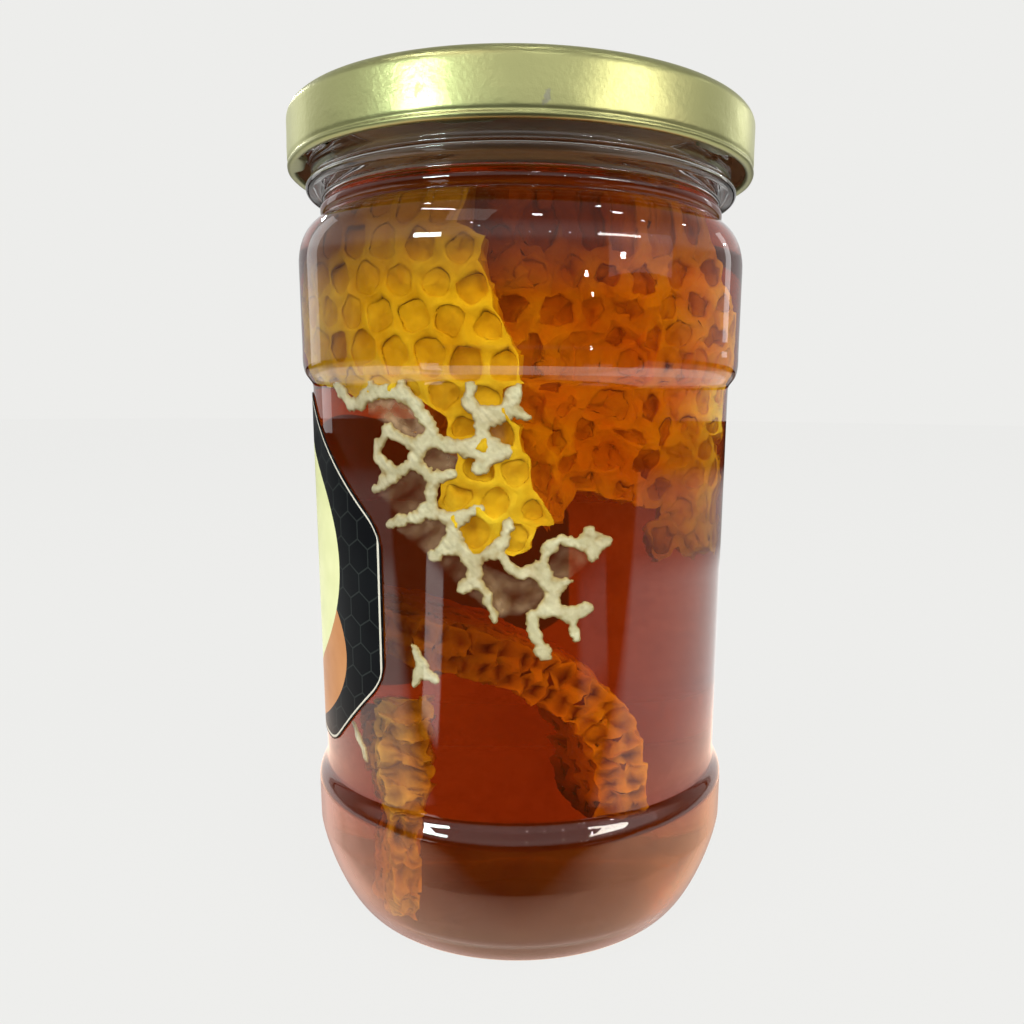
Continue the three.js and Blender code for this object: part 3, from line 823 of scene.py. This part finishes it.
lowerSpec = {
    "thick": 8.4, "depth": 2.0, "first": [3, -24], "tilt": 0, "jitter": 0.5, "rib": 0.9, "hollow": 0.35,
    "keep": 0.4, "slope": 0, "rough": 0.12, "wobble": 0.3, "pitch": 4.9, "wall": 1.2, "sink": 0.8,
    "shadeSlits": 1.1, "paintedShade": lowerShade,
    "outline": [[0, -24], [10, -25], [20, -25.5], [60, -25.5], [60, -8], [44, -6.5], [18, -5.5], [0, -7]],
}
combLower = cellSheet("combLower", lowerSpec, lambda u, v, w: alongArch(u, v, w + 3.9), archWax, 31)
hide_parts("comb_lower")

lowerLeftSpec = {
    "thick": 9.4, "depth": 2, "first": [3, 14], "tilt": 0, "jitter": 0.5, "rough": 0.13, "wobble": 0.4,
    "swell": 0.5, "slope": 0, "pitch": 3.6, "wall": 1.0, "hollow": 0.35, "rib": 0.3, "shadeSlits": 0.7,
    "outline": [[0, 11], [3, 6], [16, 6], [19, 41], [9, 42.3], [5, 47], [0, 48]],
}
combLowerLeft = cellSheet("combLowerLeft", lowerLeftSpec, onEdge, tanWax, 43)
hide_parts("comb_lower_left")
for piece, slot in ((combUpperLeft, "yellow_wax"), (combUpperRight, "amber_wax"), (combLower, "amber_wax"),
                    (combLowerLeft, "yellow_wax")):
    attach(piece, "root")
print("comb made")

# pale wax on the glass: arc lengths and heights of its knots, the strands between them with their half
# widths, and the openings that a thin film spans, with how thick it looks there
waxSpec = dict(radius=36.74, widen=0.93, grid=0.2, blend=0.5, fray=0.13, thick=0.9, sunk=0.4,
               film=(0.46, 0.36, 0.33))
knots = {
    "a1": (-34.8, 100.7), "a2": (-29, 96.6), "a3": (-24.9, 99.3), "a4": (-18.6, 99.6), "a6": (-13.9, 95.2),
    "a7": (-13.2, 92.6), "a8": (-15.7, 90.9), "a9": (-10, 90.7), "a11": (-21.1, 93.6), "a12": (-24.9, 89.3),
    "a13": (-20.2, 86.1), "a14": (-24.9, 83.1), "a15": (-16.3, 88.2), "a16": (-13.1, 85.8),
    "a17": (-9.5, 86.8), "a18": (-13.5, 82.5), "a19": (-14, 80.5), "a20": (-19.3, 78.5),
    "a21": (-9.7, 79.3), "b1": (-6.7, 100.8), "b2": (-4.8, 95.9), "b3": (-1.1, 96.7), "b4": (-4.9, 93.4),
    "b5": (-4.9, 90.9), "b6": (-1.2, 90.3), "b7": (2.0, 95.6), "c5": (-10.1, 76), "c6": (-13.8, 72.7),
    "c7": (-6.9, 73.4), "c8": (-6.4, 70), "c9": (-8.9, 68.1), "c11": (-2.5, 74.6), "c11u": (-0.4, 79.6),
    "c10d": (-2.9, 63.3), "c12": (-0.1, 70.7), "c13": (3.9, 71.2), "c14": (7.5, 76.6), "c15": (12.3, 75.3),
    "c15r": (15.4, 75.9), "c16": (5.9, 68.7), "c17": (6.0, 65.1), "c18": (2.4, 64.2), "c18d": (5.2, 57.2),
    "c19": (9.3, 64), "c19r": (12, 65.4), "c19d": (9.9, 59.9), "s1": (-24.6, 101.6), "s2": (-18.2, 101.6),
    "s3": (-19.6, 92.2), "t1": (-5.5, 81.5), "t2": (-4.5, 67.5), "t3": (5, 75), "t4": (3.5, 60),
    "t5": (-7, 97), "t6": (0.6, 100.3), "t7": (9, 69.5), "t8": (12, 78), "t9": (12.6, 72.8),
    "t10": (-3.5, 89), "t11": (-21.8, 77.6), "t12": (-6, 87.4),
}
strands = [
    ("a1 a2 a3 a4 a6 a7 a9 b5", 1.25), ("a3 s1", 0.8), ("a4 s2", 0.7), ("a11 a12 a13 a15 a8", 1.05),
    ("a8 a7", 1.0), ("a8 s3 a11", 0.8), ("a13 a14", 1.0), ("a15 a16 a17", 0.95), ("a16 a18 a19", 1.0),
    ("a19 a20 t11", 1.0), ("a19 a21 t1", 1.0), ("a21 c5", 1.1), ("c5 c6", 1.15), ("c5 c7", 1.05),
    ("c7 c11 c11u", 0.95), ("c11 c12 c13", 0.95), ("c7 c8 c9", 1.1), ("c8 t2 c10d", 0.8),
    ("c13 t3 c14 c15 c15r", 1.05), ("c15 t8", 0.8), ("c15 t9", 0.75), ("c13 c16 c17", 1.1), ("c16 t7", 0.8),
    ("c17 c18 t4 c18d", 1.15), ("c17 c19 c19r", 1.05), ("c19 c19d", 1.0), ("b1 t5 b2 b3 t6", 1.15),
    ("b3 b7", 0.9), ("b2 b4 b5 b6", 1.1), ("b5 t10 t12", 1.2), ("b6 b5", 1.2),
]
films = [
    ("a2 a3 a4 a6 a7 a8 s3 a11", 2.2), ("a15 a8 a7 a9 b5 a17 a16", 1.2), ("b4 b3 b6 b5", 0.8),
    ("a14 a13 a15 a16 a18 a19 a20", 0.75), ("a20 a19 a21 c5 c6 t11", 1.0), ("c6 c5 c7 c8 c9", 0.6),
    ("c9 c8 c7 c12 c13 c16 c17 c18 c10d", 1.15), ("c13 c14 c15 t9 t7 c16", 0.7),
]


# strands as one flat shape, inside = k log(sum over strands of exp(largest of (width - distance) / k)),
# roughened by waves, cut out of a fine grid whose rim is moved onto inside = 0. Front and back bulge as
# thick sqrt(1 - (1 - inside / reach)^2), and the whole is bent onto the glass.
def waxOnGlass(name, chains, seed, blend=waxSpec["blend"]):
    pick, grid, fray = np.random.default_rng(seed), waxSpec["grid"], waxSpec["fray"]
    tracks, spacing = [], 0.3
    for chain, width in chains:
        chain = np.array(chain, float)
        fine = refined(softened(chain, 2.4, 7) if len(chain) > 2 else chain, spacing)
        fine = fine + ripples(np.c_[fine, 0 * fine[:, 0]], 2.6, seed + 3)[:, :2] * 0.12
        along = np.arange(len(fine)) * spacing
        tip = np.minimum(1, 0.62 + 0.5 * np.minimum(along, along[::-1]))
        tracks.append((fine, width * tip * (1 + 0.15 * np.sin(along * 1.7 + pick.uniform(0, 6)))))
    every = np.concatenate([fine for fine, _ in tracks])
    sizes = np.ceil((np.ptp(every, axis=0) + 5) / grid).astype(int)
    spots = np.stack(np.meshgrid(*(np.arange(n) * grid for n in sizes), indexing="ij"), -1)
    flat = (every.min(0) - 2.5 + spots).reshape(-1, 2)
    total = np.full(len(flat), 1e-9)
    for fine, wide in tracks:
        close = np.flatnonzero(((flat > fine.min(0) - 3) & (flat < fine.max(0) + 3)).all(1))
        total[close] += np.exp((wide - np.linalg.norm(flat[close][:, None] - fine, axis=-1)).max(1) / blend)
    level = np.c_[flat, 0 * flat[:, 0]]
    inside = blend * np.log(total) + ripples(level, 0.8, seed + 5)[:, 0] * fray * 0.6
    inside = inside + ripples(level, 2.6, seed + 6)[:, 0] * fray
    slope = np.stack(np.gradient(inside.reshape(sizes), grid), -1).reshape(-1, 2)
    step = -inside[:, None] * slope / np.maximum((slope**2).sum(-1, keepdims=True), 0.05)
    step *= np.minimum(1, 0.7 * grid / np.maximum(np.linalg.norm(step, axis=1, keepdims=True), 1e-9))
    quads = gridFaces(*sizes)
    quads = quads[inside[quads].mean(1) > 0]
    edges = np.sort(np.stack([quads, np.roll(quads, -1, 1)], -1), -1).reshape(-1, 2)
    single, times = np.unique(edges, axis=0, return_counts=True)
    rim = np.zeros(len(flat), bool)
    rim[single[times == 1].ravel()] = True
    flat = np.where(rim[:, None], flat + step, flat)
    depth = np.where(rim, 0, np.maximum(inside, 0.01))
    domes = [np.sqrt(1 - (1 - np.minimum(depth / reach, 1)) ** 2) for reach in (0.55, 0.9)]
    front = -waxSpec["sunk"] + 0.36 * domes[0] + ripples(level, 1.2, seed + 7)[:, 0] * 0.035 * (depth > 0)
    back = -waxSpec["sunk"] - waxSpec["thick"] * domes[1]
    used = np.unique(quads)
    inner = used[~rim[used]]
    order = np.full(len(flat), -1)
    order[used] = np.arange(len(used))
    behind = order.copy()
    behind[inner] = len(used) + np.arange(len(inner))
    points = np.concatenate([np.c_[flat[used], front[used]], np.c_[flat[inner], back[inner]]])
    bent = roundJar(waxSpec["radius"])(*points.T)
    piece = meshPiece(name, bent, [order[quads][:, ::-1], behind[quads]], [paleWax])
    # painted shade: darker towards each strand's thin edge
    pitShade = 0.95 * (1 - np.minimum(depth / 0.7, 1)) ** 1.3
    attribute(piece, "pitShade", np.concatenate([pitShade[used], pitShade[inner]]))
    attribute(piece, "tint", np.full(len(points), 0.5))
    print(name, "triangles", 4 * len(quads))
    return piece


lattice = [([knots[k] for k in path.split()], width * waxSpec["widen"]) for path, width in strands]
waxLattice = waxOnGlass("waxLattice", lattice, 300, blend=0.6)
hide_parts("comb_upper_left")
waxBitOne = waxOnGlass("waxBitOne", [
    ([(-15.5, 54.2), (-16.6, 55.6), (-17.2, 57.4)], 0.9), ([(-15.5, 54.2), (-17.4, 51)], 0.85),
    ([(-15.7, 54), (-13.0, 52)], 0.9)], 400)
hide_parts("wax_bit_1")
waxBitTwo = waxOnGlass("waxBitTwo", [([(-32.8, 40.5), (-31, 38), (-29, 35.0)], 0.8)], 410)
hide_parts("wax_bit_2")
for piece in (waxLattice, waxBitOne, waxBitTwo):
    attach(piece, "root")

filmWax = newMaterial("filmWax")
grain = put("Group", node_tree=waxGrain, Coarse=350, Fine=1600).outputs
cover = product(attributeNode("cover"), ramp(grain["Mottle"], 0.3, 0.7, 0.15, 0.65))
finishWith(mixShader(cover, put("BsdfTransparent"), put("BsdfDiffuse", Color=waxSpec["film"])))
spots = np.stack(np.meshgrid(np.arange(-26, 14, 0.4), np.arange(62, 102, 0.4), indexing="ij"), -1)
flat = spots.reshape(-1, 2)
inward = np.stack([-toOutline(flat, [knots[k] for k in loop.split()])[0] for loop, _ in films])
best = inward.max(0)
quads = gridFaces(*spots.shape[:2])
quads = quads[best[quads].min(1) > 0]
strandDots = np.concatenate([refined(np.array(path, float), 0.8) for path, _ in lattice])
fromStrand = np.linalg.norm(flat[:, None] - strandDots, axis=-1).min(1)
depth = -0.7 - 0.25 * np.minimum(best, 2) + 0.12 * ripples(np.c_[flat, 0 * best], 2.2, 500)[:, 0]
waxFilm = meshPiece("waxFilm", roundJar(waxSpec["radius"])(*flat.T, depth), [quads], [filmWax])
strength = np.array([thick for _, thick in films])[inward.argmax(0)]
attribute(waxFilm, "cover", fade(best, 0, 1.5) * strength * np.clip(1.35 - fromStrand / 2.8, 0, 1))
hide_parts("comb_upper_left")
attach(waxFilm, "root")
print("pale wax made")

# the floor: its own glow, a little matt light, and what polished surfaces see of it
floorSpec = dict(pale=0.825, diffuse=0.02, table=1.15, strip=2.3, color=(1.0, 1.0, 0.981),
                 warm=(1.0, 0.66, 0.48), radius=4000, around=64)
floorPaint = newMaterial("floorPaint")
path, where = put("LightPath").outputs, objectSpot()
x, y, _ = separated(where)
far = put("VectorMath", where, operation="LENGTH").outputs["Value"]
mirrored = product(path["Is Glossy Ray"], mathNode("SUBTRACT", 1.0, path["Is Transmission Ray"]))
# polished surfaces see it bright where y + k |x| is past -0.066 to -0.042, k 0.28 left and 0.42 right
sides = mathNode("ADD", y, product(mathNode("ABSOLUTE", x), ramp(x, -0.02, 0.02, 0.28, 0.42)))
nearBy = mathNode("ADD", product(ramp(far, 0.36, 0.46, 1.0, 0.0), 0.65), ramp(far, 0.8, 1.2, 0.35, 0.0))
nearBy = mathNode("ADD", nearBy, ramp(far, 0.09, 0.15, 0.5, 0.0))
table = product(ramp(sides, -0.066, -0.042), nearBy, floorSpec["table"])
# in a strip from the jar to the front left, where x / y lies between 0.77 and 1.11
slant = mathNode("DIVIDE", x, y)
strip = product(ramp(slant, 0.77, 0.80), ramp(slant, 1.08, 1.11, 1.0, 0.0),
                product(ramp(y, -0.33, -0.29), floorSpec["strip"]), ramp(y, -0.118, -0.105, 1.0, 0.0))
# and more faintly in a patch to the front right, where x / -y lies between 0.55 and 1.03
slant = mathNode("DIVIDE", x, product(y, -1.0))
patch = product(ramp(slant, 0.55, 0.64, 0.0, 0.5), ramp(slant, 0.97, 1.03, 1.0, 0.0),
                product(ramp(y, -0.36, -0.26), ramp(y, -0.17, -0.13, 1.0, 0.0)))
table = mathNode("MAXIMUM", mathNode("MAXIMUM", table, patch), strip)
# through the jar the far floor behind it is dim
ahead = ramp(mathNode("DIVIDE", mathNode("ABSOLUTE", x), far), 0.4, 0.7, 1.0, 0.0)
hidden = product(ramp(far, 0.45, 1.1, 0.0, 0.85), ahead, path["Is Transmission Ray"])
pale = product(mathNode("SUBTRACT", 1.0, hidden), floorSpec["pale"])
strength = mathNode("ADD", product(mathNode("SUBTRACT", 1.0, mirrored), pale), product(mirrored, table))
# a painted pool of warm light: near the jar, what polished surfaces see of the floor is warm, for light
# that has passed through the honey
causticWarmth = product(mirrored, ramp(far, 0.07, 0.16, 1.0, 0.0))
glow = put("Emission", Color=mixColor(causticWarmth, floorSpec["color"], floorSpec["warm"]), Strength=strength)
finishWith(addShader(glow, put("BsdfDiffuse", Color=(floorSpec["diffuse"],) * 3)))
turn = np.arange(floorSpec["around"])
ring = turn / floorSpec["around"] * 2 * math.pi
disc = np.vstack([[0, 0, 0], np.stack([np.cos(ring), np.sin(ring), 0 * ring], 1) * floorSpec["radius"]])
floor = meshPiece("floor", disc, [np.stack([0 * turn, turn + 1, np.roll(turn, -1) + 1], 1)], [floorPaint])

# light for mirrors and matt surfaces: dim in front and low down, brighter behind and in a belt above
worldSpec = dict(pale=(0.847, 0.847, 0.831), shade=(0.06, 0.04, 0.03), behind=0.45, above=0.86, dim=0.02)
world = bpy.data.worlds.new("studio")
scene.world = world
world.use_nodes = True
openTree(world.node_tree)
nodes.clear()
x, y, z = separated(put("TexCoord").outputs["Generated"])
path = put("LightPath").outputs
offside = mathNode("ABSOLUTE", x)
above = product(ramp(z, 0.11, 0.24), ramp(offside, 0.35, 0.9, 1.0, 0.76), ramp(z, 0.40, 0.62, 1.0, 0.3))
behind, above = product(ramp(y, -0.15, 0.5), worldSpec["behind"]), product(above, worldSpec["above"])
around = mathNode("ADD", worldSpec["dim"], mathNode("MAXIMUM", behind, above))
high = product(ramp(z, -0.01, 0.02), ramp(offside, 0.4, 0.85, 1.0, 0.0))
through = mixColor(high, worldSpec["pale"], worldSpec["shade"])
grey = put("CombineColor", around, around, around).outputs[0]
tint = mixColor(path["Is Transmission Ray"], grey, through)
sky = put("Background", Color=mixColor(path["Is Camera Ray"], tint, worldSpec["pale"]))
feed(nodes.new("ShaderNodeOutputWorld").inputs["Surface"], sky.outputs[0])


# a lamp panel that faces the jar's middle, 8 cm up: azimuth from the front to the right and elevation in
# degrees, distance and size in metres, brightness as seen. Some light only matt surfaces, the rest only
# mirrors.
def panel(name, azimuth, elevation, distance, size, bright, color=(1, 1, 1), mattOnly=False):
    data = bpy.data.lights.new(name, "AREA")
    data.shape, data.size, data.size_y = "RECTANGLE", size[0], size[1]
    data.energy = bright * math.pi * size[0] * size[1]
    data.color = color
    a, e = azimuth * degree, elevation * degree
    direction = np.array([math.sin(a) * math.cos(e), -math.cos(a) * math.cos(e), math.sin(e)])
    spot = np.array([0, 0, 0.08]) + direction * distance
    lamp = bpy.data.objects.new(name, data)
    scene.collection.objects.link(lamp)
    facingJar = Matrix.Rotation(a, 4, "Z") @ Matrix.Rotation((90 - elevation) * degree, 4, "X")
    lamp.matrix_world = Matrix.Translation(spot.tolist()) @ facingJar
    lamp.visible_camera = lamp.visible_transmission = False
    lamp.visible_diffuse, lamp.visible_glossy = mattOnly, not mattOnly


panel("fillLeft", -45, 35, 1.1, (0.6, 0.6), 7.4, mattOnly=True)
panel("fillRight", 45, 32, 1.1, (0.6, 0.6), 8.6, (1.0, 0.97, 0.86), mattOnly=True)
panel("fillTop", 5, 72, 1.1, (0.6, 0.6), 4, mattOnly=True)
panel("tubeLeft", -43.5, 16.5, 1.0, (0.24, 0.09), 42, (0.82, 1.0, 0.98))
panel("tubeShoulder", -52, 52, 1.0, (0.26, 0.03), 30)
panel("spotFront", 10, 44, 1.1, (0.08, 0.06), 30)
panel("spotTop", 18, 78, 1.1, (0.10, 0.05), 28)
panel("panelRight", 49, 19, 1.1, (0.42, 0.06), 19, (1.0, 0.96, 0.86))
panel("spotRight", 62, 50, 1.1, (0.08, 0.05), 30)
panel("rimLeft", -125, 16, 0.8, (0.20, 0.5), 0.9)
panel("rimRight", 126, 16, 0.8, (0.10, 0.3), 1.4)
panel("veilShoulder", 60, 17, 0.8, (0.50, 0.20), 0.8, (1.0, 0.85, 0.85))
panel("veilShoulderLeft", -27, 44, 0.8, (0.25, 0.25), 1.3, (1.0, 0.80, 0.72))
sparks = [
    (-23.6, 31.4, 0.03, 0.02), (-18.9, 25.8, 0.02, 0.01), (5, 18.4, 0.02, 0.008), (14.3, 19.2, 0.02, 0.01),
    (23.7, 18.9, 0.02, 0.008), (39.7, 21.1, 0.02, 0.01), (70.4, 38.3, 0.03, 0.02), (31.8, 9, 0.035, 0.008),
    (35, 7.7, 0.02, 0.006), (50, 10.2, 0.05, 0.01), (126.6, 18.8, 0.06, 0.02), (-142.5, 27, 0.09, 0.04),
    (60, 60, 0.05, 0.03), (-75, 60, 0.05, 0.03), (100, 35, 0.04, 0.02),
]
for k, (azimuth, elevation, wide, tall) in enumerate(sparks):
    panel(f"spark{k}", azimuth, elevation, 1.2, (wide, tall), 50)

view = dict(spot=(0.0052, -0.1763, 0.0986), pitch=10.98, roll=0.44, lens=31.15, shift=(-0.0344, 0.0563))
camera = bpy.data.objects.new("camera", bpy.data.cameras.new("camera"))
scene.collection.objects.link(camera)
camera.data.lens, camera.data.sensor_width, camera.data.sensor_fit = view["lens"], 36, "AUTO"
camera.data.shift_x, camera.data.shift_y = view["shift"]
camera.data.clip_start = 0.01
pitched = Matrix.Rotation((90 - view["pitch"]) * degree, 4, "X")
rolled = Matrix.Rotation(view["roll"] * degree, 4, "Z")
camera.matrix_world = Matrix.Translation(view["spot"]) @ (pitched @ rolled)
scene.camera = camera
scene.view_settings.view_transform = "Standard"
print("stage set")
